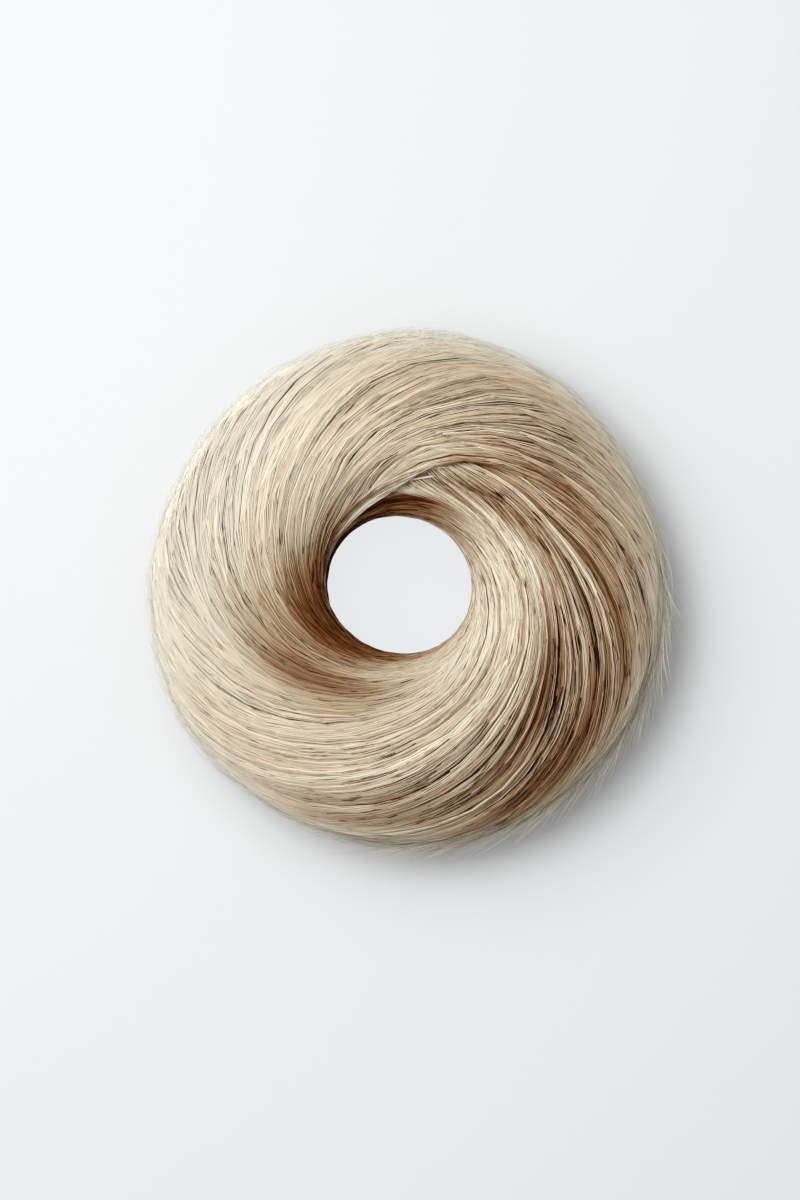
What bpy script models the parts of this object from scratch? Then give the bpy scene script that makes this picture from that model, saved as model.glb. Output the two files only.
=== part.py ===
"""Top knot hairpiece: a ring of smooth hair that is slipped over a wearer's own bun.

Ten flat locks of hair wind round a packed ring of hair. Each one starts inside the hole, climbs over
the top while it swirls clockwise, and is tucked in under the outer edge. Metres, +Z up. The origin is
the centre of the outline, on the surface that the flat underside rests on.

Places on the ring are given by two angles and a depth. The turn goes round the hole, counterclockwise
from +X as seen from above. The roll goes round the ring's section, 0 at the outer edge, 90 degrees on
top and 180 at the hole. The depth is measured inwards from the surface that the crowns lie on.
"""

import math
from collections import namedtuple

import bmesh
import bpy
from mathutils import Vector

MM = 0.001

# Driving dimensions
HEIGHT = 40.0 * MM
AXIS_HEIGHT = 19.0 * MM
HOLE_CENTRE = Vector((-1.7, 1.0, 0.0)) * MM

# The outline and the hole's edge, each measured from its own centre
Edge = namedtuple("Edge", "turn_deg outer_mm hole_mm")
EDGES = (
    Edge(0, 55.0, 15.1),
    Edge(30, 54.1, 14.7),
    Edge(60, 54.5, 14.4),
    Edge(90, 54.8, 14.5),
    Edge(120, 54.2, 15.0),
    Edge(150, 54.2, 15.5),
    Edge(180, 55.2, 15.3),
    Edge(210, 55.8, 14.8),
    Edge(240, 54.9, 14.6),
    Edge(270, 54.7, 14.7),
    Edge(300, 55.3, 15.3),
    Edge(330, 55.5, 15.5),
)

# A lock's first edge is its turn on top of the ring, and its second is the next lock's first. The
# hole swirl is how much the first edge turns inside the hole, against an even slope. The rise is how
# far the lock's crown stands above the others.
Lock = namedtuple("Lock", "name top_deg hole_swirl rise_mm")
LOCKS = (
    Lock("lock_01", 4.0, 1.00, 0.3),
    Lock("lock_02", 48.0, 1.00, 0.0),
    Lock("lock_03", 76.0, 1.00, 0.4),
    Lock("lock_04", 122.0, 0.95, 0.1),
    Lock("lock_05", 150.0, 0.90, 0.5),
    Lock("lock_06", 190.0, 0.86, 0.1),
    Lock("lock_07", 220.0, 0.88, 0.4),
    Lock("lock_08", 264.0, 0.98, 0.0),
    Lock("lock_09", 292.0, 1.06, 0.8),
    Lock("lock_10", 336.0, 1.05, 0.0),
)

# A lock's section, and the gaps that keep the pieces apart
LOCK_THICKNESS = 2.6 * MM
LOCK_EDGE_THICKNESS = 1.0 * MM
CROWN_POWER = 3
GAP_UNDER_LOCK = 0.55 * MM
GAP_BESIDE_LOCK = 0.6 * MM
CORE_DEPTH = LOCK_THICKNESS + GAP_UNDER_LOCK

# The hair's slope against the ring's own run, and the share of it that is lost towards each edge
TOP_SLOPE = 0.47
OUTER_SLOPE_LOSS = 0.5
HOLE_SLOPE_LOSS = 0.35

# How far round the section the locks reach, over how much of it they thin out towards the flat
# underside, and over how much of it their sections turn from square to level at the two ends
LOCK_OUTER_END = math.radians(-54.0)
LOCK_HOLE_END = math.radians(222.0)
THINNING = math.radians(26.0)
LEVELLING = math.radians(50.0)

# Facets
CORE_SECTIONS = 48
CORE_SECTION_SIDES = 16
LOCK_SECTIONS = 50
LOCK_OUTER_SIDES = 5
LOCK_INNER_SIDES = 3
SUM_STEPS = 48

TOP_ROLL = math.radians(90.0)
HALF_HEIGHT = HEIGHT - AXIS_HEIGHT
HALF_WIDTH = (EDGES[0].outer_mm - EDGES[0].hole_mm) / 2.0 * MM
MIDDLE_RADIUS = (EDGES[0].outer_mm + EDGES[0].hole_mm) / 2.0 * MM
# The rolls at which the section runs into the flat underside
BASE_OUTER_ROLL = -math.asin(AXIS_HEIGHT / HALF_HEIGHT)
BASE_HOLE_ROLL = math.pi - BASE_OUTER_ROLL

LOCK_COLOUR = (0.62, 0.50, 0.37, 1.0)
CORE_COLOUR = (0.34, 0.22, 0.13, 1.0)


def smoothstep(share):
    share = min(max(share, 0.0), 1.0)
    return share * share * (3.0 - 2.0 * share)


def edge_radii(turn):
    """The outline's and the hole's radius at a turn, eased from one row of EDGES to the next."""
    place = (turn / (2.0 * math.pi)) % 1.0 * len(EDGES)
    row = int(place) % len(EDGES)
    share = smoothstep(place - int(place))
    first, second = EDGES[row], EDGES[(row + 1) % len(EDGES)]
    outer = first.outer_mm + (second.outer_mm - first.outer_mm) * share
    hole = first.hole_mm + (second.hole_mm - first.hole_mm) * share
    return outer * MM, hole * MM


def ring_point(turn, roll, depth):
    """A point at a depth under the surface of the locks' crowns."""
    outer_radius, hole_radius = edge_radii(turn)
    out = Vector((math.cos(turn), math.sin(turn), 0.0))
    outer = out * outer_radius
    hole = HOLE_CENTRE + out * hole_radius
    half = (outer - hole) / 2.0
    across = half * (1.0 - depth / half.length) * math.cos(roll)
    height = AXIS_HEIGHT + (HALF_HEIGHT - depth) * math.sin(roll)
    return (outer + hole) / 2.0 + across + Vector((0.0, 0.0, max(height, 0.0)))


def thinning(roll):
    """1 where the locks have their full thickness, and 0 at the edges of the flat underside."""
    from_outer = smoothstep((roll - BASE_OUTER_ROLL) / THINNING)
    from_hole = smoothstep((BASE_HOLE_ROLL - roll) / THINNING)
    return min(from_outer, from_hole)


def mean_radius(roll):
    return MIDDLE_RADIUS + HALF_WIDTH * math.cos(roll)


def slope_at(roll):
    """How steeply the hair climbs round the section for its way round the hole."""
    sideways = math.cos(roll)
    loss = OUTER_SLOPE_LOSS if sideways > 0.0 else HOLE_SLOPE_LOSS
    return TOP_SLOPE * (1.0 - loss * abs(sideways) ** 3)


def swirl(roll):
    """How far the hair has turned round the hole since the top of the ring."""
    step = (roll - TOP_ROLL) / SUM_STEPS
    turned = 0.0
    for i in range(SUM_STEPS):
        middle = TOP_ROLL + (i + 0.5) * step
        turned += step * HALF_WIDTH / (mean_radius(middle) * slope_at(middle))
    return turned


def lock_edge_turn(lock, roll):
    """The turn of a lock's first edge at a roll."""
    in_hole = smoothstep((roll - TOP_ROLL) / (LOCK_HOLE_END - TOP_ROLL))
    return math.radians(lock.top_deg) + swirl(roll) * (1.0 + (lock.hole_swirl - 1.0) * in_hole)


def lock_edges(lock, following, roll):
    """The turns of both edges of a lock at a roll."""
    first, second = lock_edge_turn(lock, roll), lock_edge_turn(following, roll)
    return first, second + (2.0 * math.pi if second < first else 0.0)


def lock_point(lock, following, roll, share, thickness):
    """A point of a lock, at a share of its width from its first edge, this far above its inner side."""
    first, second = lock_edges(lock, following, roll)
    slope = slope_at(roll)
    square = mean_radius(roll) * (second - first) * slope / (1.0 + slope * slope) / HALF_WIDTH
    ease_outer = smoothstep((roll - LOCK_OUTER_END) / LEVELLING)
    ease_hole = smoothstep((LOCK_HOLE_END - roll) / LEVELLING)
    roll += square * ease_outer * ease_hole * (0.5 - share)
    first, second = lock_edges(lock, following, roll)
    gap = GAP_BESIDE_LOCK / 2.0 / (mean_radius(roll) * slope_at(roll))
    turn = first + gap + (second - first - 2.0 * gap) * share
    thin = thinning(roll)
    return ring_point(turn, roll, CORE_DEPTH * thin - GAP_UNDER_LOCK - thickness * thin)


def lock_section(lock, following, roll):
    """One closed section of a lock, its crowned outer side first, and then its inner side."""
    crown = LOCK_THICKNESS - LOCK_EDGE_THICKNESS + lock.rise_mm * MM
    points = []
    for i in range(LOCK_OUTER_SIDES + 1):
        share = i / LOCK_OUTER_SIDES
        thickness = LOCK_EDGE_THICKNESS + crown * (1.0 - abs(2.0 * share - 1.0) ** CROWN_POWER)
        points.append(lock_point(lock, following, roll, share, thickness))
    for i in range(LOCK_INNER_SIDES, -1, -1):
        points.append(lock_point(lock, following, roll, i / LOCK_INNER_SIDES, 0.0))
    return points


def lock_rolls():
    """The rolls of a lock's sections, closer together where the hair bends more."""
    steps = LOCK_SECTIONS * 4
    step = (LOCK_HOLE_END - LOCK_OUTER_END) / steps
    bends = [0.0]
    for i in range(steps):
        roll = LOCK_OUTER_END + (i + 0.5) * step
        slope = slope_at(roll)
        around = 1.0 / mean_radius(roll) / (1.0 + slope * slope)
        over = slope * slope / HALF_WIDTH / (1.0 + slope * slope)
        bends.append(bends[-1] + step / slope * math.sqrt(around + over))
    rolls = []
    place = 0
    for i in range(LOCK_SECTIONS + 1):
        wanted = bends[-1] * i / LOCK_SECTIONS
        while place < steps - 1 and bends[place + 1] < wanted:
            place += 1
        share = (wanted - bends[place]) / (bends[place + 1] - bends[place])
        rolls.append(LOCK_OUTER_END + (place + share) * step)
    return rolls


def hair_material(name, colour):
    material = bpy.data.materials.new(name)
    material.use_nodes = True
    shader = material.node_tree.nodes["Principled BSDF"]
    shader.inputs["Base Color"].default_value = colour
    shader.inputs["Roughness"].default_value = 0.45
    shader.inputs["Metallic"].default_value = 0.0
    return material


def loft(name, sections, closed_run, material, collection):
    """A solid through sections with the same number of points: a ring, or a strip with two ends."""
    mesh_data = bmesh.new()
    rows = [[mesh_data.verts.new(point) for point in section] for section in sections]
    count = len(rows[0])
    for i in range(len(rows) if closed_run else len(rows) - 1):
        row, after = rows[i], rows[(i + 1) % len(rows)]
        for j in range(count):
            k = (j + 1) % count
            mesh_data.faces.new((row[j], after[j], after[k], row[k]))
    if not closed_run:
        mesh_data.faces.new(rows[0])
        mesh_data.faces.new(list(reversed(rows[-1])))
    bmesh.ops.recalc_face_normals(mesh_data, faces=mesh_data.faces)
    mesh = bpy.data.meshes.new(name)
    mesh_data.to_mesh(mesh)
    mesh_data.free()
    mesh.materials.append(material)
    mesh.shade_smooth()
    piece = bpy.data.objects.new(name, mesh)
    collection.objects.link(piece)
    return piece


def make_core_ring(material, collection):
    """The packed ring under the locks, flat underneath."""
    roll_range = BASE_HOLE_ROLL - BASE_OUTER_ROLL
    rolls = [BASE_OUTER_ROLL + roll_range * i / CORE_SECTION_SIDES for i in range(CORE_SECTION_SIDES + 1)]
    sections = []
    for i in range(CORE_SECTIONS):
        turn = 2.0 * math.pi * i / CORE_SECTIONS
        sections.append([ring_point(turn, roll, CORE_DEPTH * thinning(roll)) for roll in rolls])
    return loft("core_ring", sections, True, material, collection)


def make_lock(lock, following, material, collection):
    """One lock, lofted from its tucked outer end over the top and down into the hole."""
    sections = [lock_section(lock, following, roll) for roll in lock_rolls()]
    return loft(lock.name, sections, False, material, collection)


def main():
    for old in list(bpy.data.objects):
        bpy.data.objects.remove(old, do_unlink=True)
    collection = bpy.data.collections.new("top_knot_hairpiece")
    bpy.context.scene.collection.children.link(collection)
    make_core_ring(hair_material("packed_hair", CORE_COLOUR), collection)
    lock_hair = hair_material("lock_hair", LOCK_COLOUR)
    for i, lock in enumerate(LOCKS):
        make_lock(lock, LOCKS[(i + 1) % len(LOCKS)], lock_hair, collection)


main()
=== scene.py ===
"""Combed ash-blond hair for the top knot hairpiece, with its floor, light and camera.

The ring is dressed with long thin strands that follow the same swirl as the locks. A place on the
ring is given by its top turn, its roll and its depth. The roll goes round the section: 0 at the outer
edge, 90 degrees on top and 180 at the hole. A combed hair keeps about the same top turn all the way,
which is the turn where it crosses the top of the ring. The depth is measured inwards from the crowns.
"""

import math
from collections import namedtuple

import bpy
import numpy as np
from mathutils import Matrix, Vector


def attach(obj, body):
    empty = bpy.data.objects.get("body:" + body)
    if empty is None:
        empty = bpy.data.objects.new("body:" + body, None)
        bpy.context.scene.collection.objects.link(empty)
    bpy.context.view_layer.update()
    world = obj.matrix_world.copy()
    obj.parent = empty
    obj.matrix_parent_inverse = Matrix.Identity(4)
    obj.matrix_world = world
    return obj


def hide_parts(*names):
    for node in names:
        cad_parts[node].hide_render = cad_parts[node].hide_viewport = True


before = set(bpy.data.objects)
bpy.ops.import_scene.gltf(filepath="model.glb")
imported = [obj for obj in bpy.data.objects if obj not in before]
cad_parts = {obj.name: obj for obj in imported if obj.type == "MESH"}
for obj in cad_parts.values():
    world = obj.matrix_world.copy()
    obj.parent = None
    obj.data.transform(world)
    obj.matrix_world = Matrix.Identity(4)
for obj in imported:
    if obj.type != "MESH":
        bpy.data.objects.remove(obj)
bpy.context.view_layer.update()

MM = 0.001
FULL = 2.0 * math.pi

# The ring's form, as the CAD has it
HEIGHT = 40.0 * MM
AXIS_HEIGHT = 19.0 * MM
HALF_HEIGHT = HEIGHT - AXIS_HEIGHT
HOLE_CENTRE = np.array([-1.7, 1.0, 0.0]) * MM

Edge = namedtuple("Edge", "turn_deg outer_mm hole_mm")
EDGES = (
    Edge(0, 55.0, 15.1),
    Edge(30, 54.1, 14.7),
    Edge(60, 54.5, 14.4),
    Edge(90, 54.8, 14.5),
    Edge(120, 54.2, 15.0),
    Edge(150, 54.2, 15.5),
    Edge(180, 55.2, 15.3),
    Edge(210, 55.8, 14.8),
    Edge(240, 54.9, 14.6),
    Edge(270, 54.7, 14.7),
    Edge(300, 55.3, 15.3),
    Edge(330, 55.5, 15.5),
)

Lock = namedtuple("Lock", "name top_deg")
LOCKS = (
    Lock("lock_01", 4.0),
    Lock("lock_02", 48.0),
    Lock("lock_03", 76.0),
    Lock("lock_04", 122.0),
    Lock("lock_05", 150.0),
    Lock("lock_06", 190.0),
    Lock("lock_07", 220.0),
    Lock("lock_08", 264.0),
    Lock("lock_09", 292.0),
    Lock("lock_10", 336.0),
)

# The hair's slope against the ring's own run, and the share of it that is lost towards each edge
TOP_SLOPE = 0.47
OUTER_SLOPE_LOSS = 0.5
HOLE_SLOPE_LOSS = 0.35
HALF_WIDTH = 19.95 * MM
MIDDLE_RADIUS = 35.05 * MM

BASE_OUTER_ROLL = -math.asin(AXIS_HEIGHT / HALF_HEIGHT)
BASE_HOLE_ROLL = math.pi - BASE_OUTER_ROLL
THINNING = math.radians(26.0)

# Rolls in degrees where the combed hair ends, inside the hole and under the outer edge
HAIR_HOLE_END, HAIR_OUTER_END = 224.0, -58.0
# No hair lies lower than this, so none cuts into the floor
LOWEST = 0.35 * MM
# The hair is laid a little deeper towards the outer edge, where fine loose hairs cover it
RIM_SINK, RIM_FROM_DEG = 1.1 * MM, 36.0
GROOVE_DEPTH = 0.45 * MM
PACKED_DEPTH = 1.9 * MM

# The seam above the hole, where the flow from the left passes over the one that starts beneath it
Seam = namedtuple("Seam", "roll_deg top_deg")
SEAM = (
    Seam(60, 38.0),
    Seam(96, 38.7),
    Seam(103, 39.5),
    Seam(113, 38.0),
    Seam(125, 28.0),
    Seam(140, 9.4),
    Seam(152, -4.0),
    Seam(170, -18.0),
)
SEAM_RAISED, SEAM_SUNK = 0.6 * MM, 1.7 * MM
# Top turns of the flow that starts beneath the seam, and how deep it starts
UNDER_FROM_DEG, UNDER_TO_DEG = 262.0, 398.5
UNDER_START_MM = 2.6

# Where the combed hair leaves the even swirl: the top turn, how far round it this reaches, the roll
# where it starts and where it is complete, and how far the hair has then turned
Bend = namedtuple("Bend", "top_deg reach_deg start_deg full_deg turned_deg")
BENDS = (
    Bend(62, 34, 104, 158, -36),
    Bend(100, 30, 92, 145, -20),
    Bend(90, 30, 84, 50, 10),
    Bend(215, 34, 70, 28, 13),
    Bend(232, 34, 122, 170, -40),
    Bend(290, 26, 112, 160, 20),
    Bend(330, 30, 80, 40, -6),
)

# The layers of combed hair, lowest first. Those of the outer flow stop at the seam, and the filling
# lies under the flow that starts beneath it. The light and warm values are added to the chart's. The lower
# outer layers are darker and warmer, as painted shade.
Layer = namedtuple("Layer", "total clumps depth_mm spread_mm light warm radius_mm count hole_end outer_end")
OUTER_LAYERS = (
    Layer(560, 130, 1.05, 0.3, -0.14, 0.12, 0.12, 30, HAIR_HOLE_END, HAIR_OUTER_END),
    Layer(1100, 260, 0.50, 0.4, -0.04, 0.03, 0.090, 34, HAIR_HOLE_END, HAIR_OUTER_END),
    Layer(2300, 420, 0.02, 0.45, 0.02, 0.0, 0.079, 34, 214.0, -36.0),
)
FILLING = Layer(1100, 200, 0.9, 0.6, 0.0, 0.05, 0.11, 34, HAIR_HOLE_END, HAIR_OUTER_END)
UNDER_TOTAL, UNDER_CLUMPS, UNDER_COUNT, UNDER_RADIUS_MM = 1350, 190, 36, 0.079
EDGE_TOTAL, EDGE_COUNT, EDGE_RADIUS_MM = 150, 28, 0.085

# Loose hairs: fine ones all round the outer edge, a few long ones on top, wisps at the right, and dark
# ones that lie in the gaps on the right, as painted shade in those gaps
Loose = namedtuple("Loose", "total turn_deg roll_deg spread lift_mm length_mm radius_mm light arched count")
LOOSE_HAIRS = (
    Loose(1380, (0, 360), (-6, 24), 0.5, (0.3, 1.9), (7, 20), 0.038, 0.03, 0.4, 7),
    Loose(80, (0, 360), (30, 96), 0.3, (0.1, 0.3), (12, 36), 0.036, 0.02, 0.5, 16),
    Loose(500, (-84, 8), (-6, 26), 0.45, (0.6, 5.0), (9, 25), 0.052, 0.18, 0.0, 8),
    # Painted shade: dark hairs laid in the gaps on the right
    Loose(90, (-95, 10), (52, 104), 0.1, (0.0, 0.1), (5, 14), 0.110, -0.55, 0.0, 9),
)

# Strands of one kind: points, outward directions, radii and tones for each point, and for each strand
# the top turn that says which lock it belongs to
Strands = namedtuple("Strands", "points normal radius shade warmth spot uneven")

# How light and how warm the hair is where no patch changes it
BASE_LIGHT, BASE_WARMTH = 0.674, 0.24

# Colours from dark to light, in sRGB, for hair of the usual, the palest and the warmest kind
ASH = (
    (0.0, (24, 8, 2)),
    (0.12, (54, 30, 13)),
    (0.25, (98, 71, 46)),
    (0.45, (162, 138, 111)),
    (0.66, (212, 200, 179)),
    (0.84, (236, 229, 211)),
    (1.0, (248, 245, 232)),
)
PALE = (
    (0.0, (26, 11, 4)),
    (0.25, (98, 77, 54)),
    (0.45, (156, 141, 118)),
    (0.66, (207, 202, 186)),
    (0.84, (234, 230, 217)),
    (1.0, (246, 244, 236)),
)
GOLDEN = (
    (0.0, (30, 3, 0)),
    (0.12, (60, 17, 2)),
    (0.25, (101, 47, 5)),
    (0.45, (153, 107, 61)),
    (0.66, (213, 189, 156)),
    (0.84, (239, 226, 200)),
    (1.0, (249, 243, 226)),
)
# The hair under the strands, darker as painted shade where it shows between them
PACKED = (
    (0.0, (30, 16, 8)),
    (0.3, (104, 70, 40)),
    (0.6, (178, 148, 112)),
    (1.0, (232, 216, 190)),
)
# Warmth at which the hair has the usual colour
USUAL_WARMTH = 0.25

# The stage, its light and the camera
FLOOR_HALF_SIZE = 1.5
FLOOR_COLOUR = (0.666, 0.684, 0.704, 1.0)
HOLE_FLOOR_RADIUS, HOLE_FLOOR_HEIGHT, HOLE_FLOOR_SIDES = 0.021, 0.0001, 64
HOLE_FLOOR_GLOW = (0.965, 0.985, 1.0, 1.0)
HOLE_FLOOR_STRENGTH = 0.805
SKY_COLOUR, SKY_STRENGTH = (1.0, 0.995, 0.985, 1.0), 0.38
LAMP_COLOUR = (1.0, 0.995, 0.985)
Lamp = namedtuple("Lamp", "name place size watts")
LAMPS = (
    Lamp("window", (-0.28, 0.21, 0.81), 0.74, 4.9),
    Lamp("key", (-0.20, 0.15, 0.86), 0.30, 3.8),
)
CAMERA_PLACE = (-1.9 * MM, -2.3 * MM, 0.616)
CAMERA_LENS_MM, CAMERA_SENSOR_MM = 85.0, 36.0


def wrapped(degrees):
    """The same angle between -180 and 180."""
    return (degrees + 180.0) % 360.0 - 180.0


def smoothstep(share):
    share = np.clip(share, 0.0, 1.0)
    return share * share * (3.0 - 2.0 * share)


def bump(offset, reach):
    """1 in the middle, and 0 from the reach on."""
    return smoothstep(1.0 - np.abs(offset) / reach)


def edge_radii(turn):
    place = (turn / FULL) % 1.0 * len(EDGES)
    row = place.astype(int) % len(EDGES)
    share = smoothstep(place - np.floor(place))
    outer = np.array([edge.outer_mm for edge in EDGES]) * MM
    hole = np.array([edge.hole_mm for edge in EDGES]) * MM
    after = (row + 1) % len(EDGES)
    return outer[row] + (outer[after] - outer[row]) * share, hole[row] + (hole[after] - hole[row]) * share


def ring_point(turn, roll, depth):
    """Points at a depth under the crowns, with the ring's own outward direction there."""
    outer_radius, hole_radius = edge_radii(turn)
    out = np.stack([np.cos(turn), np.sin(turn), np.zeros_like(turn)], -1)
    outer = out * outer_radius[..., None]
    hole = HOLE_CENTRE + out * hole_radius[..., None]
    half = (outer - hole) / 2.0
    length = np.linalg.norm(half, axis=-1)
    across = half * ((1.0 - depth / length) * np.cos(roll))[..., None]
    point = (outer + hole) / 2.0 + across
    point[..., 2] = AXIS_HEIGHT + (HALF_HEIGHT - depth) * np.sin(roll)
    normal = half / length[..., None] * np.cos(roll)[..., None]
    normal[..., 2] = np.sin(roll)
    return point, normal / np.linalg.norm(normal, axis=-1)[..., None]


def slope_at(roll):
    sideways = np.cos(roll)
    loss = np.where(sideways > 0.0, OUTER_SLOPE_LOSS, HOLE_SLOPE_LOSS)
    return TOP_SLOPE * (1.0 - loss * np.abs(sideways) ** 3)


def make_swirl():
    """The even swirl as a table: how far the hair has turned since the top, for each roll."""
    roll = np.radians(np.linspace(-75.0, 255.0, 661))
    rate = HALF_WIDTH / ((MIDDLE_RADIUS + HALF_WIDTH * np.cos(roll)) * slope_at(roll))
    turned = np.concatenate([[0.0], np.cumsum((rate[1:] + rate[:-1]) / 2.0 * np.diff(roll))])
    return roll, turned - np.interp(math.pi / 2.0, roll, turned)


SWIRL_ROLL, SWIRL_TURN = make_swirl()


def swirl(roll):
    return np.interp(roll, SWIRL_ROLL, SWIRL_TURN)


def thinning(roll):
    from_outer = smoothstep((roll - BASE_OUTER_ROLL) / THINNING)
    from_hole = smoothstep((BASE_HOLE_ROLL - roll) / THINNING)
    return np.minimum(from_outer, from_hole)


def even_rolls(count, hole_end, outer_end):
    """Rolls of a hair's points in degrees, from the hole to the outer end, closer where it bends more."""
    roll = np.radians(np.linspace(hole_end, outer_end, 400))
    slope = slope_at(roll)
    radius = MIDDLE_RADIUS + HALF_WIDTH * np.cos(roll)
    bend = np.sqrt((1.0 / radius + slope * slope / HALF_WIDTH) / (1.0 + slope * slope)) / slope
    along = np.concatenate([[0.0], np.cumsum((bend[1:] + bend[:-1]) / 2.0)])
    return np.degrees(np.interp(np.linspace(0.0, along[-1], count), along, roll))


def seam_offset(top, roll):
    """How far a place lies past the seam, in degrees: above 0 on the flow that passes over."""
    rolls = [row.roll_deg for row in SEAM]
    return wrapped(top - np.interp(roll, rolls, [row.top_deg for row in SEAM]))


def seam_depth(top, roll):
    """How far the surface is raised, below 0, or sunk near the seam."""
    past = seam_offset(top, roll)
    here = smoothstep((roll - 82.0) / 20.0) * smoothstep((176.0 - roll) / 22.0)
    over = -SEAM_RAISED * np.exp(-np.maximum(past, 0.0) / 24.0)
    under = SEAM_SUNK * np.exp(np.minimum(past, 0.0) / 26.0)
    step = smoothstep(past / 5.0 + 0.5)
    return here * (over * step + under * (1.0 - step))


def rim_depth(roll):
    return RIM_SINK * smoothstep((RIM_FROM_DEG - roll) / RIM_FROM_DEG)


def lock_groove(top, roll):
    """The shallow dips between neighbouring locks, from 0 to 1."""
    edges = np.array([lock.top_deg for lock in LOCKS])
    nearest = np.abs(wrapped(top[..., None] - edges)).min(-1)
    return np.exp(-((nearest / 4.0) ** 2)) * smoothstep((150.0 - roll) / 40.0)


def bent(top, roll):
    """The top turn of combed hair at a roll, with the bends of its flow."""
    moved = top.copy()
    for row in BENDS:
        share = smoothstep((roll - row.start_deg) / (row.full_deg - row.start_deg))
        moved = moved + row.turned_deg * share * bump(wrapped(top - row.top_deg), row.reach_deg)
    return moved


def under_path(top, count):
    """Rolls and top turns of the hair that starts beneath the seam, up to the top of the ring."""
    share = ((UNDER_TO_DEG - top) / 108.5)[:, None]
    inner = np.maximum(share - 1.0, 0.0)
    last = top[:, None] - 360.0
    x = (46.0 - 90.0 * inner, 46.0 - 36.0 * share - 60.0 * inner, last + 8.0 * share, last)
    y = (
        108.0 + 6.0 * share + 76.0 * inner,
        108.0 + 28.0 * share + 40.0 * inner,
        90.0 + 52.0 * share,
        90.0 + 0.0 * share,
    )
    t = np.linspace(0.0, 1.0, count)[None, :]
    mix = ((1 - t) ** 3, 3 * t * (1 - t) ** 2, 3 * t * t * (1 - t), t**3)
    return sum(a * b for a, b in zip(x, mix)), sum(a * b for a, b in zip(y, mix))


def wobble(rng, rows, along, waves, size):
    """Smooth random curves, one a row."""
    total = np.zeros((rows, len(along)))
    for wave in waves:
        phase = rng.uniform(0.0, FULL, (rows, 1))
        pace = wave * rng.uniform(0.7, 1.3, (rows, 1))
        total += np.sin(FULL * pace * along[None, :] + phase) * rng.uniform(0.4, 1.0, (rows, 1)) / wave**0.7
    return total * size


def drift(top, roll):
    """A slow wander that neighbouring hairs share, in degrees."""
    a, b = np.radians(top), np.radians(roll)
    total = 1.5 * np.sin(3.0 * a + 2.1 * b + 0.4) + 1.3 * np.sin(7.0 * a - 3.2 * b + 1.9)
    total += 0.8 * np.sin(13.0 * a + 4.3 * b + 5.0) + 0.5 * np.sin(23.0 * a - 6.0 * b + 2.2)
    return total


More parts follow.
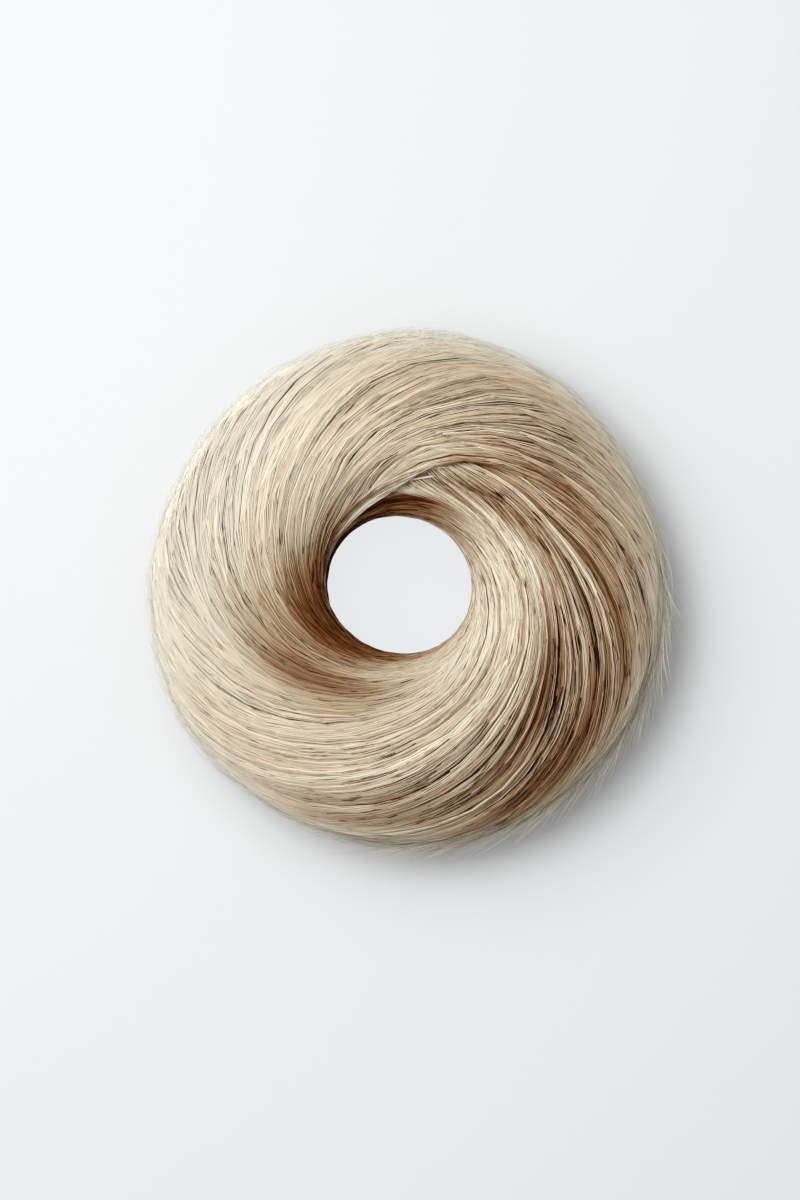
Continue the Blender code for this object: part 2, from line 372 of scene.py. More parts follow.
# Places that are lighter or darker than the rest: partly the hair's own lighter and darker locks, and partly
# painted shade, in the hole, along the seam's edge and on the lower right side and its rim. For each: the top
# turn and roll of the middle, how far it reaches each way, how much lighter, and how much warmer
Patch = namedtuple("Patch", "top_deg top_reach roll_deg roll_reach light warm")
TONE_AND_PAINTED_SHADE_PATCHES = (
    # Painted shade in the hole: its dark, warm walls and the dark band along its top
    Patch(38, 66, 178, 40, -0.46, 0.95),
    Patch(-30, 50, 186, 16, -0.10, 0.40),
    Patch(-98, 46, 182, 36, -0.44, 0.60),
    Patch(-44, 50, 162, 18, -0.42, 0.80),
    Patch(-34, 26, 148, 14, -0.36, 0.40),
    Patch(-58, 26, 156, 12, -0.12, 0.20),
    Patch(-8, 36, 160, 16, 0.00, 0.50),
    Patch(96, 52, 152, 28, -0.42, 0.80),
    Patch(60, 40, 156, 24, -0.22, 0.60),
    Patch(32, 26, 152, 16, -0.18, 0.30),
    Patch(128, 44, 136, 26, -0.26, 0.50),
    Patch(-18, 26, 142, 14, -0.04, 0.10),
    Patch(4, 24, 148, 13, 0.34, 0.00),
    Patch(32, 16, 130, 10, 0.10, 0.00),
    Patch(335, 20, 118, 14, 0.18, 0.00),
    Patch(332, 26, 88, 20, -0.08, 0.04),
    Patch(0, 26, 92, 24, -0.06, 0.00),
    # Painted shadow along and under the seam's edge
    Patch(4, 24, 126, 16, -0.20, 0.02),
    Patch(6, 34, 112, 20, -0.20, 0.04),
    Patch(38, 12, 107, 9, -0.28, 0.24),
    Patch(62, 20, 130, 14, -0.12, 0.10),
    Patch(225, 46, 172, 14, -0.12, 0.30),
    Patch(202, 44, 150, 22, 0.09, -0.04),
    Patch(10, 40, 98, 20, -0.06, 0.00),
    Patch(-32, 26, 90, 28, -0.12, 0.04),
    Patch(38, 34, 86, 28, -0.16, 0.10),
    Patch(60, 80, 56, 50, -0.07, 0.06),
    Patch(24, 56, 60, 60, -0.06, 0.10),
    # Painted shade: the lower right rim, darker where its fine hair lies over the floor's shadow
    Patch(40, 60, 14, 24, -0.26, 0.00),
    Patch(112, 50, 98, 34, 0.06, -0.06),
    Patch(150, 40, 122, 22, -0.10, 0.10),
    Patch(185, 44, 124, 24, -0.18, 0.14),
    Patch(195, 54, 108, 28, -0.20, 0.14),
    Patch(170, 60, 70, 36, 0.04, -0.12),
    Patch(220, 60, 50, 46, 0.04, -0.16),
    Patch(212, 74, 14, 26, 0.18, -0.10),
    Patch(225, 50, 134, 30, 0.02, -0.08),
    Patch(276, 38, 140, 24, 0.14, -0.16),
    Patch(90, 60, 66, 56, -0.06, 0.02),
    Patch(112, 50, 40, 28, -0.07, 0.00),
    Patch(185, 76, 60, 60, 0.00, -0.26),
    Patch(282, 12, 98, 40, 0.08, 0.00),
    # The darker lower right side: partly darker locks, partly painted shade
    Patch(312, 40, 78, 46, -0.08, 0.16),
    Patch(304, 26, 44, 28, -0.16, 0.10),
    Patch(345, 40, 46, 42, -0.16, 0.22),
    Patch(234, 38, 142, 22, 0.10, 0.00),
    Patch(62, 34, 60, 28, 0.05, 0.00),
    Patch(32, 26, 58, 34, -0.07, 0.00),
    Patch(150, 30, 140, 18, -0.08, 0.00),
    Patch(272, 26, 114, 16, -0.04, 0.00),
    Patch(155, 42, 78, 36, 0.06, 0.00),
    Patch(268, 60, 8, 16, 0.06, 0.00),
    Patch(358, 40, 48, 56, -0.17, 0.16),
    Patch(-10, 50, 12, 24, -0.14, 0.02),
)


def chart_with_painted_shade(top, roll):
    """How light and how warm the hair is at a place, from 0 to 1, with painted shade in places: darker and
    warmer deep in the hole, along the seam and on the lower right.
    """
    light = np.full_like(top, BASE_LIGHT)
    warm = np.full_like(top, BASE_WARMTH)
    for row in TONE_AND_PAINTED_SHADE_PATCHES:
        share = bump(wrapped(top - row.top_deg), row.top_reach) * bump(roll - row.roll_deg, row.roll_reach)
        light = light + row.light * share
        warm = warm + row.warm * share
    rim = smoothstep((62.0 - roll) / 50.0)
    # Painted shade: darker and warmer deep inside the hole
    deep = smoothstep((roll - 168.0) / 40.0)
    warm = USUAL_WARMTH + (1.0 - USUAL_WARMTH) * (warm + 0.4 * deep)
    seen = smoothstep((roll + 14.0) / 30.0)
    return light + 0.08 * rim - 0.2 * deep, warm * (1.0 - 0.85 * rim * seen)


def unevenness(top, roll):
    """How much neighbouring hairs differ in tone: most on the right, least towards the rim."""
    base = 0.30 + 0.70 * smoothstep((roll - 20.0) / 70.0)
    patch = bump(wrapped(top - 345.0), 104.0) * bump(roll - 78.0, 72.0)
    brown = bump(wrapped(top - 58.0), 62.0) * bump(roll - 66.0, 62.0)
    hole = bump(wrapped(top - 25.0), 80.0) * smoothstep((roll - 104.0) / 30.0)
    left = bump(wrapped(top - 168.0), 95.0) * bump(roll - 44.0, 56.0)
    return base * (0.72 + 2.2 * patch + 0.7 * brown + 1.3 * hole) * (1.0 - 0.6 * left)


def relief(top, roll):
    """How deep the gaps between clumps are: deepest on the right."""
    patch = bump(wrapped(top - 322.0), 76.0) * bump(roll - 74.0, 76.0)
    hole = smoothstep((roll - 112.0) / 40.0)
    left = bump(wrapped(top - 168.0), 95.0) * bump(roll - 44.0, 56.0)
    return 0.30 + 1.1 * patch + 0.3 * hole - 0.2 * left


def odd_hairs(rng, total):
    """Tones of single hairs: most alike, a few much darker or lighter."""
    tone = rng.normal(0.0, 0.065, total)
    pick = rng.random(total)
    tone = np.where(pick < 0.14, tone - rng.uniform(0.05, 0.25, total), tone)
    return np.where(pick > 0.94, tone + rng.uniform(0.03, 0.08, total), tone)[:, None]


def clumped(rng, total, clumps):
    """Hairs split over uneven clumps round the ring.

    Gives each hair's place and clump, and each clump's middle and width, in degrees.
    """
    sizes = np.exp(rng.normal(0.0, 0.45, clumps))
    edges = np.concatenate([[0.0], np.cumsum(sizes) / sizes.sum() * 360.0])
    spot = rng.uniform(0.0, 360.0, total)
    clump = np.searchsorted(edges, spot, side="right") - 1
    return spot, clump, (edges[1:] + edges[:-1]) / 2.0, np.diff(edges)


def strand_radius(rng, total, along, radius_mm, tip_share):
    """Radii along each strand, thinner at both tips."""
    radius = radius_mm * MM * rng.uniform(0.6, 1.4, total)[:, None] * np.ones((1, len(along)))
    tip = smoothstep(np.minimum(along, 1.0 - along) / tip_share)
    return radius * (0.35 + 0.65 * tip)[None, :]


def place_strands(top, roll, depth, light, own, warm):
    """Turns top turns, rolls and depths into points, with their outward directions and tones."""
    roll_rad = np.radians(roll)
    turn = np.radians(top) + swirl(roll_rad)
    seam = seam_depth(top, roll)
    groove = GROOVE_DEPTH * lock_groove(top, roll)
    depth = (depth + seam + groove + rim_depth(roll)) * thinning(roll_rad)
    points, normal = ring_point(turn, roll_rad, depth)
    points[..., 2] = np.maximum(points[..., 2], LOWEST)
    shade, heat = chart_with_painted_shade(top, roll)
    uneven = unevenness(top, roll)
    return points, normal, shade + light * uneven + own * np.minimum(uneven, 1.6), heat + warm, uneven


def comb_layer(rng, layer):
    """One layer of long combed hairs that run from the hole to the outer edge."""
    total, clumps = layer.total, layer.clumps
    spot, clump, middle, width = clumped(rng, total, clumps)
    along = np.linspace(0.0, 1.0, layer.count)
    rolls = even_rolls(layer.count, layer.hole_end, layer.outer_end)
    start = rng.uniform(-9.0, 0.0, total)[:, None]
    stop = rng.uniform(0.0, 9.0, total)[:, None]
    roll = rolls[None, :] + start * (1.0 - along[None, :]) ** 4 + stop * along[None, :] ** 4
    clump_wander = wobble(rng, clumps, along, (0.8, 1.7), 0.8)
    pinch = 0.9 + wobble(rng, clumps, along, (1.0, 2.0), 0.10)
    stray = wobble(rng, total, along, (0.6, 1.3, 2.2), 0.7)
    offset = (spot - middle[clump])[:, None] * pinch[clump]
    top = middle[clump][:, None] + offset + clump_wander[clump] + stray
    top = bent(top % 360.0, roll)
    top = top + drift(top, roll)
    clump_depth = rng.uniform(0.0, layer.spread_mm, clumps)[:, None]
    clump_depth = clump_depth + wobble(rng, clumps, along, (1.5, 3.2), 0.14)
    rounding = 0.25 * (2.0 * offset / width[clump][:, None]) ** 2
    sunk = (clump_depth[clump] + rounding) * relief(top, roll)
    depth = layer.depth_mm + sunk + rng.uniform(0.0, 0.25, total)[:, None]
    depth = np.maximum(depth + wobble(rng, total, along, (1.5, 3.0), 0.05), 0.02) * MM
    clump_tone = np.minimum(rng.normal(0.0, 0.06, clumps), 0.035)
    # Painted shade: hairs that lie deeper, in the gaps between clumps, are darker
    tone = layer.light + clump_tone[clump][:, None] - 0.12 * sunk
    heat = layer.warm + rng.normal(0.0, 0.05, clumps)[clump][:, None] + rng.normal(0.0, 0.06, total)[:, None]
    heat = heat + 0.0 * along[None, :]
    own = odd_hairs(rng, total)
    points, normal, shade, warmth, uneven = place_strands(top, roll, depth, tone, own, heat)
    radius = strand_radius(rng, total, along, layer.radius_mm, 0.02)
    return Strands(points, normal, radius, shade, warmth, spot, uneven)


def under_layer(rng, total, clumps, count):
    """The hair that starts beneath the seam, crosses towards the hole and joins the outer flow."""
    spot = np.sort(rng.uniform(UNDER_FROM_DEG, UNDER_TO_DEG, total))
    edges = np.sort(rng.uniform(UNDER_FROM_DEG, UNDER_TO_DEG, clumps))
    clump = np.clip(np.searchsorted(edges, spot), 0, clumps - 1)
    first = int(count * 0.45)
    head_top, head_roll = under_path(spot, first + 1)
    tail = np.linspace(90.0, HAIR_OUTER_END, count - first)[None, :] + 0.0 * spot[:, None]
    top = np.concatenate([head_top[:, :-1], (spot - 360.0)[:, None] + 0.0 * tail], 1)
    roll = np.concatenate([head_roll[:, :-1], tail], 1)
    along = np.linspace(0.0, 1.0, count)
    top = top + wobble(rng, clumps, along, (0.8, 1.7), 0.8)[clump]
    top = top + wobble(rng, total, along, (0.6, 1.3, 2.2), 0.8)
    stray = bump(along - 0.2, 0.3)[None, :]
    roll = roll + wobble(rng, clumps, along, (1.0, 2.0), 0.9)[clump] * stray
    roll = roll + (rng.normal(0.0, 1.4, total)[:, None] + wobble(rng, total, along, (2.0, 3.0), 0.6)) * stray
    outer = smoothstep((90.0 - roll) / 40.0)
    top = bent(top % 360.0, np.minimum(roll, 90.0)) + drift(top, roll) * (0.3 + 0.7 * outer)
    clump_depth = rng.uniform(0.0, 0.6, clumps)[:, None] + wobble(rng, clumps, along, (1.5, 3.2), 0.14)
    sunk = clump_depth[clump] * relief(top, roll)
    depth = 0.02 + sunk + rng.uniform(0.0, 0.25, total)[:, None] + wobble(rng, total, along, (2.5, 5.0), 0.06)
    past = seam_offset(top, roll)
    at_seam = smoothstep((roll - 92.0) / 8.0)
    hidden = smoothstep((past + 3.0) / 7.0) * at_seam
    depth = (np.maximum(depth, 0.02) + UNDER_START_MM * hidden) * MM
    shadow = smoothstep((past + 6.0) / 6.0) * at_seam
    clump_tone = np.minimum(rng.normal(0.0, 0.06, clumps), 0.035)
    # Painted shade: deeper hairs are darker, and a painted shadow darkens them where they go under the seam's
    # edge
    tone = clump_tone[clump][:, None] - 0.12 * sunk - 0.15 * shadow
    heat = rng.normal(0.0, 0.06, total)[:, None] + 0.0 * along[None, :]
    own = odd_hairs(rng, total)
    points, normal, shade, warmth, uneven = place_strands(top, roll, depth, tone, own, heat)
    radius = strand_radius(rng, total, along, UNDER_RADIUS_MM, 0.02)
    return Strands(points, normal, radius, shade, warmth, spot % 360.0, uneven)


def seam_edge(rng, total, count):
    """The hair along the edge of the flow that passes over. It hides where the other flow starts."""
    along = np.linspace(0.0, 1.0, count)
    share = rng.random(total)[:, None]
    roll = np.linspace(172.0, 54.0, count)[None, :] + rng.uniform(-6.0, 6.0, total)[:, None]
    rolls, tops = [row.roll_deg for row in SEAM], [row.top_deg for row in SEAM]
    line = sum(np.interp(roll + step, rolls, tops) for step in (-6.0, -3.0, 0.0, 3.0, 6.0)) / 5.0
    top = line - 2.5 + share * np.maximum(9.0, 36.0 - line) + wobble(rng, total, along, (0.6, 1.3), 0.4)
    ends = 1.0 - smoothstep(np.minimum(along, 1.0 - along) / 0.14)
    depth = (0.02 + rng.uniform(0.0, 0.35, total)[:, None] + 0.3 * share + 1.4 * ends) * MM
    tone = -0.04 + rng.normal(0.0, 0.04, total)[:, None]
    heat = rng.normal(0.0, 0.06, total)[:, None] + 0.0 * along[None, :]
    own = odd_hairs(rng, total)
    points, normal, shade, warmth, uneven = place_strands(top, roll, depth, tone, own, heat)
    radius = strand_radius(rng, total, along, EDGE_RADIUS_MM, 0.03)
    return Strands(points, normal, radius, shade, warmth, 30.0 + 12.0 * share[:, 0], uneven)


def loose_layer(rng, kind):
    """Loose hairs that leave the surface a little: their turns, rolls, lift and length are ranges.

    The spread is how much their slopes differ, and arched is the share that comes back to the surface.
    Hairs that would cross the seam's step are left out.
    """
    total = kind.total
    along = np.linspace(0.0, 1.0, kind.count)[None, :]
    turn = np.radians(rng.uniform(*kind.turn_deg, total))[:, None]
    roll = np.radians(rng.uniform(*kind.roll_deg, total))[:, None]
    length = rng.uniform(*kind.length_mm, total)[:, None] * MM
    slope = slope_at(roll) * rng.normal(1.0, kind.spread, (total, 1))
    radius = MIDDLE_RADIUS + HALF_WIDTH * np.cos(roll)
    run = length / np.sqrt(1.0 + slope**2)
    turn = turn - along * run / radius
    roll = roll - along * run * slope / HALF_WIDTH
    lift = rng.uniform(*kind.lift_mm, total)[:, None] * MM
    shape = np.where(rng.random((total, 1)) < kind.arched, 4.0 * along * (1.0 - along), along**2)
    top, roll_deg = np.degrees(turn - swirl(roll)), np.degrees(roll)
    depth = 0.25 * MM + rim_depth(roll_deg) - lift * shape + seam_depth(top, roll_deg)
    points, normal = ring_point(turn, roll, depth)
    points[..., 2] = np.maximum(points[..., 2], 0.4 * MM)
    top = top % 360.0
    shade, heat = chart_with_painted_shade(top, roll_deg)
    shade = shade + kind.light + rng.normal(0.0, 0.06, (total, 1))
    width = kind.radius_mm * MM * rng.uniform(0.7, 1.3, (total, 1)) * (1.0 - 0.75 * along**2)
    crossing = (np.abs(seam_offset(top, roll_deg)) < 4.0) & (roll_deg > 60.0)
    hairs = Strands(points, normal, width, shade, heat * 0.4, top[:, 0], 0.2 + 0.0 * shade)
    return Strands(*(part[~crossing.any(1)] for part in hairs))


def strand_mesh(name, groups, rng):
    """One mesh of closed three-sided tubes, with tone attributes and a bake map of one row a strand."""
    verts, faces3, faces4, light, warm, grain, uvs3, uvs4 = [], [], [], [], [], [], [], []
    rows = sum(len(group.points) for group in groups)
    order_key = np.concatenate([group.shade.mean(1) for group in groups])
    rank = np.empty(rows)
    rank[np.argsort(order_key)] = np.arange(rows)
    base, done = 0, 0
    for number, (points, normal, radius, shade, warmth, spot, uneven) in enumerate(groups):
        n, m = points.shape[:2]
        run = np.gradient(points, axis=1)
        run /= np.linalg.norm(run, axis=-1)[..., None]
        side = np.cross(run, normal)
        side /= np.linalg.norm(side, axis=-1)[..., None]
        up = np.cross(side, run)
        spin = rng.uniform(0.0, FULL, (n, 1))
        spin = spin + np.linspace(0.0, 1.0, m)[None, :] * rng.normal(0.0, 2.0, (n, 1))
        ring = []
        for k in range(3):
            angle = (spin + k * FULL / 3.0)[..., None]
            ring.append(points + radius[..., None] * (np.cos(angle) * up + np.sin(angle) * side))
        verts.append(np.stack(ring, 2).reshape(-1, 3))
        light.append(np.repeat(shade.reshape(-1), 3))
        warm.append(np.repeat(warmth.reshape(-1), 3))
        step = np.linalg.norm(np.diff(points, axis=1), axis=-1) / MM
        length = np.concatenate([np.zeros((n, 1)), np.cumsum(step, axis=1)], 1)
        across = (spot * 4.0 + 1500.0 * number + rng.normal(0.0, 0.3, n))[:, None] + 0.0 * length
        place = np.stack([across, length, np.minimum(uneven, 0.95)], -1)
        grain.append(np.repeat(place.reshape(-1, 3), 3, axis=0))
        index = base + np.arange(n * m * 3).reshape(n, m, 3)
        after = np.roll(index, -1, axis=2)
        quads = np.stack([index[:, :-1], index[:, 1:], after[:, 1:], after[:, :-1]], -1)
        faces4.append(quads.reshape(-1, 4))
        faces3.append(index[:, 0, :])
        faces3.append(index[:, -1, ::-1])
        low = rank[done : done + n, None, None] / rows
        u = np.linspace(0.002, 0.998, m)
        v = low + (np.array([0.25, 0.42, 0.58, 0.75]) / rows)[None, None, :]
        v = np.broadcast_to(v, (n, m - 1, 4))
        u_low = np.broadcast_to(u[None, :-1, None], (n, m - 1, 3))
        u_high = np.broadcast_to(u[None, 1:, None], (n, m - 1, 3))
        quad_uv = np.stack(
            [
                np.stack([u_low, v[..., :3]], -1),
                np.stack([u_high, v[..., :3]], -1),
                np.stack([u_high, v[..., 1:]], -1),
                np.stack([u_low, v[..., 1:]], -1),
            ],
            3,
        )
        uvs4.append(quad_uv.reshape(-1, 2))
        for edge_u in (0.0, 1.0):
            inner = 0.002 if edge_u == 0.0 else 0.998
            corner = np.stack(
                [
                    np.stack([np.full(n, edge_u), low[:, 0, 0] + 0.3 / rows], -1),
                    np.stack([np.full(n, edge_u), low[:, 0, 0] + 0.7 / rows], -1),
                    np.stack([np.full(n, inner), low[:, 0, 0] + 0.5 / rows], -1),
                ],
                1,
            )
            uvs3.append(corner.reshape(-1, 2))
        base += n * m * 3
        done += n
    mesh = bpy.data.meshes.new(name)
    verts = np.concatenate(verts)
    quads, tris = np.concatenate(faces4), np.concatenate(faces3)
    mesh.vertices.add(len(verts))
    mesh.vertices.foreach_set("co", verts.astype(np.float32).ravel())
    mesh.loops.add(quads.size + tris.size)
    mesh.loops.foreach_set("vertex_index", np.concatenate([quads.ravel(), tris.ravel()]).astype(np.int32))
    starts = np.concatenate([np.arange(len(quads)) * 4, quads.size + np.arange(len(tris)) * 3])
    mesh.polygons.add(len(starts))
    mesh.polygons.foreach_set("loop_start", starts.astype(np.int32))
    mesh.update(calc_edges=True)
    mesh.shade_smooth()
    for label, values in (("tone", light), ("warmth", warm)):
        layer = mesh.attributes.new(label, "FLOAT", "POINT")
        layer.data.foreach_set("value", np.clip(np.concatenate(values), 0.0, 1.0).astype(np.float32))
    layer = mesh.attributes.new("grain", "FLOAT_VECTOR", "POINT")
    layer.data.foreach_set("vector", np.concatenate(grain).astype(np.float32).ravel())
    uv = mesh.uv_layers.new(name="OFBake")
    uv.data.foreach_set("uv", np.concatenate(uvs4 + uvs3).astype(np.float32).ravel())
    piece = bpy.data.objects.new(name, mesh)
    bpy.context.scene.collection.objects.link(piece)
    return piece


def srgb(red, green, blue):
    def linear(value):
        value /= 255.0
        return value / 12.92 if value <= 0.04045 else ((value + 0.055) / 1.055) ** 2.4

    return (linear(red), linear(green), linear(blue), 1.0)


def new_material(name):
    material = bpy.data.materials.new(name)
    material.use_nodes = True
    return material, material.node_tree.nodes, material.node_tree.links


def attribute(nodes, name):
    node = nodes.new("ShaderNodeAttribute")
    node.attribute_name = name
    return node


def colour_ramp(nodes, links, source, stops):
    node = nodes.new("ShaderNodeValToRGB")
    ramp = node.color_ramp
    while len(ramp.elements) < len(stops):
        ramp.elements.new(0.5)
    for element, (place, colour) in zip(ramp.elements, stops):
        element.position = place
        element.color = colour
    links.new(source, node.inputs["Fac"])
    return node.outputs["Color"]


def hair_ramp(nodes, links, source, stops):
    """A colour ramp whose stops are in sRGB."""
    return colour_ramp(nodes, links, source, [(place, srgb(*colour)) for place, colour in stops])


def remapped(nodes, links, source, from_range, to_range=(0.0, 1.0)):
    """A value moved from one range to another, and kept within it."""
    node = nodes.new("ShaderNodeMapRange")
    node.inputs["From Min"].default_value, node.inputs["From Max"].default_value = from_range
    node.inputs["To Min"].default_value, node.inputs["To Max"].default_value = to_range
    links.new(source, node.inputs["Value"])
    return node.outputs["Result"]


def computed(nodes, links, operation, *sources):
    node = nodes.new("ShaderNodeMath")
    node.operation = operation
    for i, source in enumerate(sources):
        links.new(source, node.inputs[i])
    return node.outputs["Value"]


def mixed(nodes, links, share, first, second):
    node = nodes.new("ShaderNodeMix")
    node.data_type = "RGBA"
    links.new(share, node.inputs["Factor"])
    links.new(first, node.inputs["A"])
    links.new(second, node.inputs["B"])
    return node.outputs["Result"]


def hair_material(name):
    """Ash-blond hair: tone and warmth come with the strands, and noise along each strand breaks them up."""
    material, nodes, links = new_material(name)
    shader = nodes["Principled BSDF"]
    tone = attribute(nodes, "tone").outputs["Fac"]
    warmth = attribute(nodes, "warmth").outputs["Fac"]
    place = attribute(nodes, "grain").outputs["Vector"]

    # Dark flecks a few millimetres long, each on one strand. The place's third value is their strength.
    stretch = nodes.new("ShaderNodeVectorMath")
    stretch.operation = "MULTIPLY"
    stretch.inputs[1].default_value = (1.0, 0.15, 0.0)
    links.new(place, stretch.inputs[0])
    noise = nodes.new("ShaderNodeTexNoise")
    noise.inputs["Scale"].default_value = 1.0
    noise.inputs["Detail"].default_value = 2.0
    links.new(stretch.outputs["Vector"], noise.inputs["Vector"])
    stops = ((0.30, (0, 0, 0, 1)), (0.39, (0.92, 0.92, 0.92, 1)), (0.6, (1, 1, 1, 1)))
    dash = colour_ramp(nodes, links, noise.outputs["Fac"], stops)
    darkening = remapped(nodes, links, dash, (0.0, 1.0), (-0.60, 0.03))
    amount = nodes.new("ShaderNodeSeparateXYZ")
    links.new(place, amount.inputs["Vector"])
    fleck = computed(nodes, links, "MULTIPLY", darkening, amount.outputs["Z"])
    light = computed(nodes, links, "ADD", tone, fleck)

    # From pale over ash to golden as the warmth grows. Dark hair is more golden than light hair.
    ash = hair_ramp(nodes, links, light, ASH)
    pale = hair_ramp(nodes, links, light, PALE)
    golden = hair_ramp(nodes, links, light, GOLDEN)
    low = remapped(nodes, links, warmth, (0.0, USUAL_WARMTH))
    high = remapped(nodes, links, warmth, (USUAL_WARMTH, 1.0))
    dark = remapped(nodes, links, light, (0.1, 0.52), (0.65, 0.0))
    gold = computed(nodes, links, "MULTIPLY_ADD", dark, low, high)
    cool = mixed(nodes, links, low, pale, ash)
    links.new(mixed(nodes, links, gold, cool, golden), shader.inputs["Base Color"])

    # Light hair shines and dark gaps don't. The plain value stands in where the link is lost.
    shine = remapped(nodes, links, light, (0.15, 0.75), (0.06, 0.40))
    links.new(shine, shader.inputs["Specular IOR Level"])
    shader.inputs["Specular IOR Level"].default_value = 0.25
    shader.inputs["Specular Tint"].default_value = (1.0, 0.95, 0.88, 1.0)
    shader.inputs["Roughness"].default_value = 0.45
    return material


def packed_material(name):
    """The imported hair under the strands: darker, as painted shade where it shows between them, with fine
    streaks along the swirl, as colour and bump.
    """
    material, nodes, links = new_material(name)
    shader = nodes["Principled BSDF"]
    streak = nodes.new("ShaderNodeTexNoise")
    streak.inputs["Scale"].default_value = 2.2
    streak.inputs["Detail"].default_value = 4.0
    streak.inputs["Roughness"].default_value = 0.65
    links.new(attribute(nodes, "flow").outputs["Vector"], streak.inputs["Vector"])
    spread = remapped(nodes, links, streak.outputs["Fac"], (0.3, 0.7), (-0.22, 0.22))
    light = computed(nodes, links, "ADD", attribute(nodes, "tone").outputs["Fac"], spread)
    links.new(hair_ramp(nodes, links, light, PACKED), shader.inputs["Base Color"])
    relief_bump = nodes.new("ShaderNodeBump")
    relief_bump.inputs["Strength"].default_value = 0.7
    relief_bump.inputs["Distance"].default_value = 0.0004
    links.new(streak.outputs["Fac"], relief_bump.inputs["Height"])
    links.new(relief_bump.outputs["Normal"], shader.inputs["Normal"])
    shader.inputs["Roughness"].default_value = 0.6
    return material


def packed_ring(name, turns, sides):
    """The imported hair's own surface, close under the strands, and flat where it rests."""
    rolls = np.radians(np.linspace(math.degrees(BASE_OUTER_ROLL), math.degrees(BASE_HOLE_ROLL), sides + 1))
    turn = np.linspace(0.0, FULL, turns, endpoint=False)
    turn_grid, roll_grid = np.meshgrid(turn, rolls, indexing="ij")
    top = np.degrees(turn_grid - swirl(roll_grid))
    seam = np.maximum(seam_depth(top, np.degrees(roll_grid)), -0.4 * MM)
    depth = (PACKED_DEPTH + seam * 0.8) * thinning(roll_grid)
    points, _ = ring_point(turn_grid, roll_grid, depth)
    points[:, 0, 2] = points[:, -1, 2] = 0.0
    index = np.arange(turns * (sides + 1)).reshape(turns, sides + 1)
    after = np.roll(index, -1, axis=0)
    walls = np.stack([index[:, :-1], after[:, :-1], after[:, 1:], index[:, 1:]], -1).reshape(-1, 4)
    base = np.stack([index[:, -1], after[:, -1], after[:, 0], index[:, 0]], -1)
    mesh = bpy.data.meshes.new(name)
    mesh.from_pydata(points.reshape(-1, 3).tolist(), [], np.concatenate([walls, base]).tolist())
    mesh.update()
    mesh.shade_smooth()
    light, _ = chart_with_painted_shade(top, np.degrees(roll_grid))
    layer = mesh.attributes.new("tone", "FLOAT", "POINT")
    underside = smoothstep((-10.0 - np.degrees(roll_grid)) / 30.0)
    # Painted shade: darker than the strands' tone where it shows between them, and lighter towards the
    # underside
    tone = light * 0.62 - 0.1 + 0.22 * underside
    layer.data.foreach_set("value", np.clip(tone, 0.0, 1.0).astype(np.float32).ravel())
    around = np.radians(top)
    flow = np.stack([30.0 * np.cos(around), 30.0 * np.sin(around), roll_grid * 1.2], -1)
    layer = mesh.attributes.new("flow", "FLOAT_VECTOR", "POINT")
    layer.data.foreach_set("vector", flow.astype(np.float32).ravel())
    piece = bpy.data.objects.new(name, mesh)
    bpy.context.scene.collection.objects.link(piece)
    return piece


def kept_where(layer, wanted):
    """The strands of a layer whose top turn passes a test."""
    stays = wanted(layer.spot)
    return Strands(*(part[stays] for part in layer))


def beneath_seam(top):
    return (top - UNDER_FROM_DEG) % 360.0 < UNDER_TO_DEG - UNDER_FROM_DEG


def make_hair():
    rng = np.random.default_rng(7)
    outer = [comb_layer(rng, layer) for layer in OUTER_LAYERS]
    layers = [kept_where(layer, lambda top: ~beneath_seam(top)) for layer in outer]
    layers.append(kept_where(comb_layer(rng, FILLING), beneath_seam))
    layers.append(under_layer(rng, UNDER_TOTAL, UNDER_CLUMPS, UNDER_COUNT))
    layers.append(seam_edge(rng, EDGE_TOTAL, EDGE_COUNT))
    material = hair_material("combed_hair")
    for i, lock in enumerate(LOCKS):
        width = (LOCKS[(i + 1) % len(LOCKS)].top_deg - lock.top_deg) % 360.0
        groups = [kept_where(layer, lambda top: (top - lock.top_deg) % 360.0 < width) for layer in layers]
        groups = [group for group in groups if len(group.points)]
        dress(strand_mesh("strands_" + lock.name[-2:], groups, rng), material, lock.name)
    packed = packed_ring("packed_hair", 240, 72)
    dress(packed, packed_material("packed_hair"), "core_ring")
    loose = [loose_layer(rng, kind) for kind in LOOSE_HAIRS]
    dress(strand_mesh("loose_hair", loose, rng), material)


def dress(piece, material, node=None):
    piece.data.materials.append(material)
    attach(piece, "root")
    if node:
        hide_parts(node)
    print(piece.name, sum(len(face.vertices) - 2 for face in piece.data.polygons), "triangles")


def floor_material():
    material, nodes, _ = new_material("pale_floor")
    shader = nodes["Principled BSDF"]
    shader.inputs["Base Color"].default_value = FLOOR_COLOUR
    shader.inputs["Roughness"].default_value = 0.9
    shader.inputs["Specular IOR Level"].default_value = 0.1
    return material


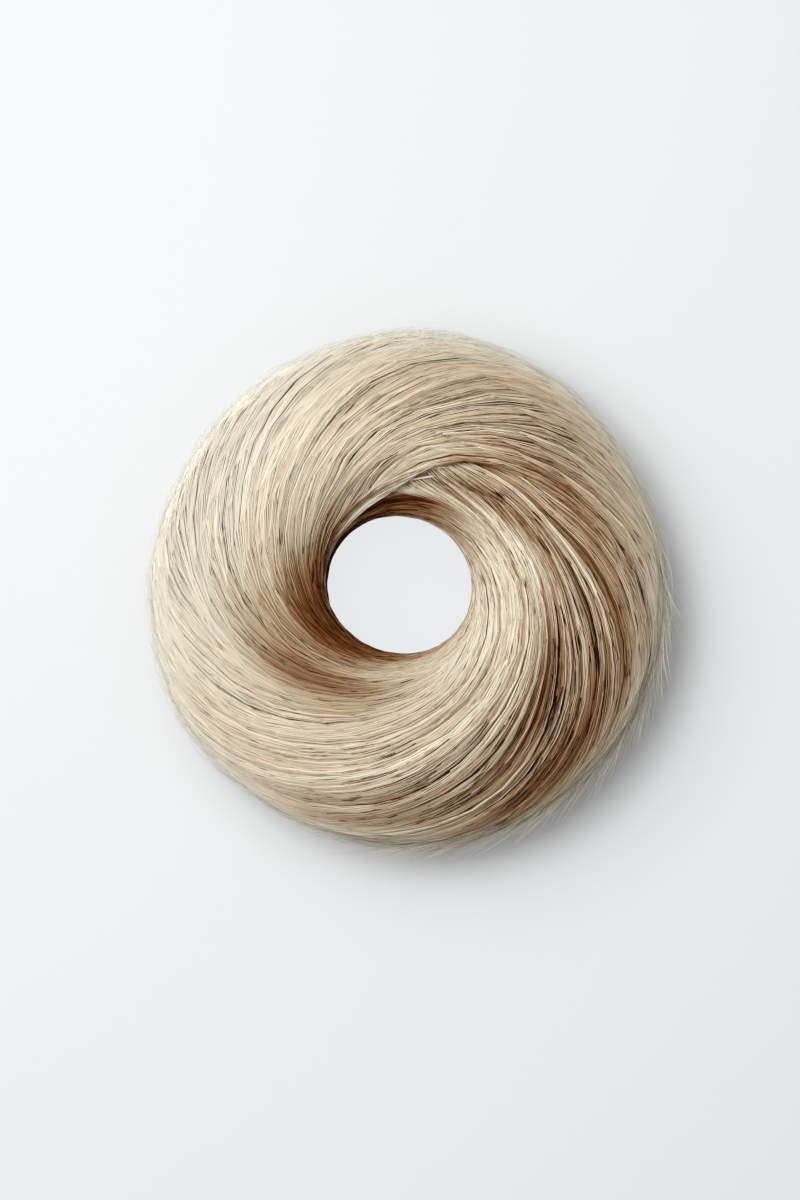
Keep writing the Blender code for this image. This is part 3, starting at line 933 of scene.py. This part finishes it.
def lit_material():
    """The floor seen through the hole glows, so that it looks as evenly lit as the open floor."""
    material, nodes, _ = new_material("lit_floor")
    shader = nodes["Principled BSDF"]
    shader.inputs["Base Color"].default_value = (0.05, 0.05, 0.052, 1.0)
    shader.inputs["Specular IOR Level"].default_value = 0.0
    shader.inputs["Emission Color"].default_value = HOLE_FLOOR_GLOW
    shader.inputs["Emission Strength"].default_value = HOLE_FLOOR_STRENGTH
    return material


def stage_face(name, corners, material):
    mesh = bpy.data.meshes.new(name)
    mesh.from_pydata(corners, [], [tuple(range(len(corners)))])
    mesh.materials.append(material)
    face = bpy.data.objects.new(name, mesh)
    bpy.context.scene.collection.objects.link(face)


def make_stage():
    size = FLOOR_HALF_SIZE
    corners = [(-size, -size, 0), (size, -size, 0), (size, size, 0), (-size, size, 0)]
    stage_face("floor", corners, floor_material())
    rim = []
    for i in range(HOLE_FLOOR_SIDES):
        angle = FULL * i / HOLE_FLOOR_SIDES
        x = HOLE_CENTRE[0] + HOLE_FLOOR_RADIUS * math.cos(angle)
        y = HOLE_CENTRE[1] + HOLE_FLOOR_RADIUS * math.sin(angle)
        rim.append((x, y, HOLE_FLOOR_HEIGHT))
    stage_face("hole_floor", rim, lit_material())
    world = bpy.data.worlds.new("studio")
    world.use_nodes = True
    background = world.node_tree.nodes["Background"]
    background.inputs["Color"].default_value = SKY_COLOUR
    background.inputs["Strength"].default_value = SKY_STRENGTH
    bpy.context.scene.world = world


def make_light_and_camera():
    scene = bpy.context.scene
    for row in LAMPS:
        light = bpy.data.lights.new(row.name, "AREA")
        light.shape = "SQUARE"
        light.size = row.size
        light.energy = row.watts
        light.color = LAMP_COLOUR
        lamp = bpy.data.objects.new(row.name, light)
        lamp.location = row.place
        lamp.rotation_mode = "QUATERNION"
        lamp.rotation_quaternion = (-Vector(row.place)).to_track_quat("-Z", "Y")
        scene.collection.objects.link(lamp)
    data = bpy.data.cameras.new("camera")
    data.sensor_fit = "AUTO"
    data.sensor_width = CAMERA_SENSOR_MM
    data.lens = CAMERA_LENS_MM
    data.clip_start = 0.01
    camera = bpy.data.objects.new("camera", data)
    camera.location = CAMERA_PLACE
    scene.collection.objects.link(camera)
    scene.camera = camera
    scene.cycles.filter_width = 1.4
    scene.view_settings.view_transform = "Standard"
    scene.view_settings.look = "None"


make_hair()
make_stage()
make_light_and_camera()
